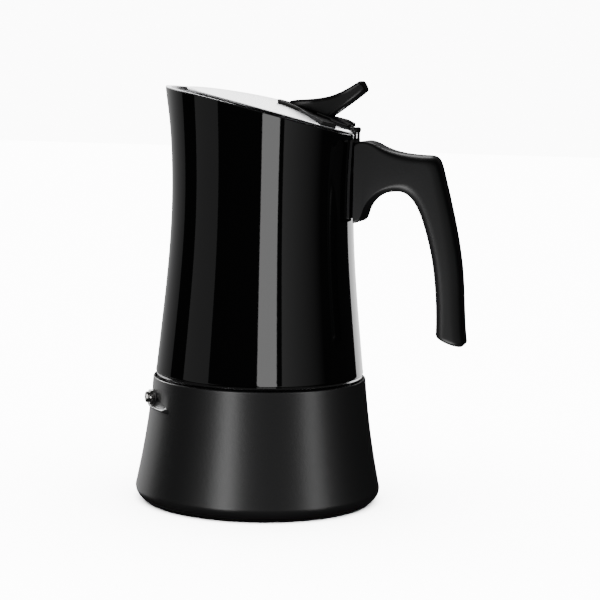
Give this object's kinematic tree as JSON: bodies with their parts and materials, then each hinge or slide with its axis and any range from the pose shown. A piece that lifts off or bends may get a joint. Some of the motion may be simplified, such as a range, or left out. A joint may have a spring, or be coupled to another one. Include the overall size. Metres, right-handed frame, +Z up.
{
  "type": "moka pot",
  "caption": "Stovetop moka pot with a tapered boiler, a waisted collector with a slanted spout and hinged lid, an arched handle, coffee funnel, filter and valve",
  "frame": {"origin": "centre of the flat base plane, on the pot's vertical axis", "axes": "+Z up along the pot's axis, +X towards the handle, -X towards the spout, +Y to the handle's left seen from above"},
  "size_m": [0.1409, 0.105, 0.1791],
  "materials": {
    "boiler_coat": "matt black heat-proof coating with a fine texture",
    "body_lacquer": "high-gloss black lacquer on steel",
    "aluminium_core": "raw aluminium disc",
    "base_steel": "spun ferritic steel, dull",
    "valve_brass": "nickel-plated brass",
    "valve_seal": "grey silicone",
    "spring_steel": "bright stainless steel",
    "inner_steel": "satin stainless steel",
    "silicone": "off-white food-grade silicone",
    "hinge_steel": "satin black painted steel",
    "handle_plastic": "matt black heat-proof plastic",
    "knob_plastic": "satin black heat-proof plastic",
    "lid_steel": "satin polished stainless steel"
  },
  "bodies": {
    "boiler": {"boiler_shell": "boiler_coat", "heat_spreader": "aluminium_core", "base_cap": "base_steel", "valve_body": "valve_brass", "valve_washer": "valve_seal", "valve_nut": "valve_brass", "valve_cap": "valve_brass", "valve_spring": "spring_steel"},
    "poppet": {"valve_poppet": "spring_steel"},
    "funnel": {"funnel_basket": "inner_steel", "funnel_tube": "inner_steel", "funnel_strainer": "inner_steel"},
    "seals": {"gasket": "silicone", "filter_plate": "inner_steel"},
    "collector": {"collector_shell": "body_lacquer", "thread_ring": "inner_steel", "collector_floor": "inner_steel", "column": "inner_steel", "column_cap": "inner_steel", "handle_bracket": "hinge_steel", "hinge_pin": "spring_steel", "handle": "handle_plastic", "handle_screw": "spring_steel"},
    "lid": {"lid_plate": "lid_steel", "hinge_leaf": "hinge_steel", "knob_base": "knob_plastic", "knob": "knob_plastic", "knob_screws": "spring_steel"}
  },
  "joints": [
    {"name": "valve_pop", "type": "slide", "parent": "boiler", "child": "poppet", "axis": [-0.8746, -0.4848, 0], "range_m": [0, 0.001], "stiffness_N_per_m": 60},
    {"name": "funnel_lift", "type": "slide", "parent": "boiler", "child": "funnel", "axis": [0, 0, 1], "range_m": [0, 0.06]},
    {"name": "collector_lift", "type": "slide", "parent": "boiler", "child": "seals", "axis": [0, 0, 1], "range_m": [0, 0.11]},
    {"name": "collector_turn", "type": "hinge", "parent": "seals", "child": "collector", "pos_m": [0, 0, 0], "axis": [0, 0, 1], "range_deg": [0, 540]},
    {"name": "lid_hinge", "type": "hinge", "parent": "collector", "child": "lid", "pos_m": [0.0399, 0, 0.1588], "axis": [0, 1, 0], "range_deg": [0, 100]}
  ],
  "couplings": [
    {"joint": "funnel_lift", "follows": "collector_lift", "ratio": 0.5}
  ]
}
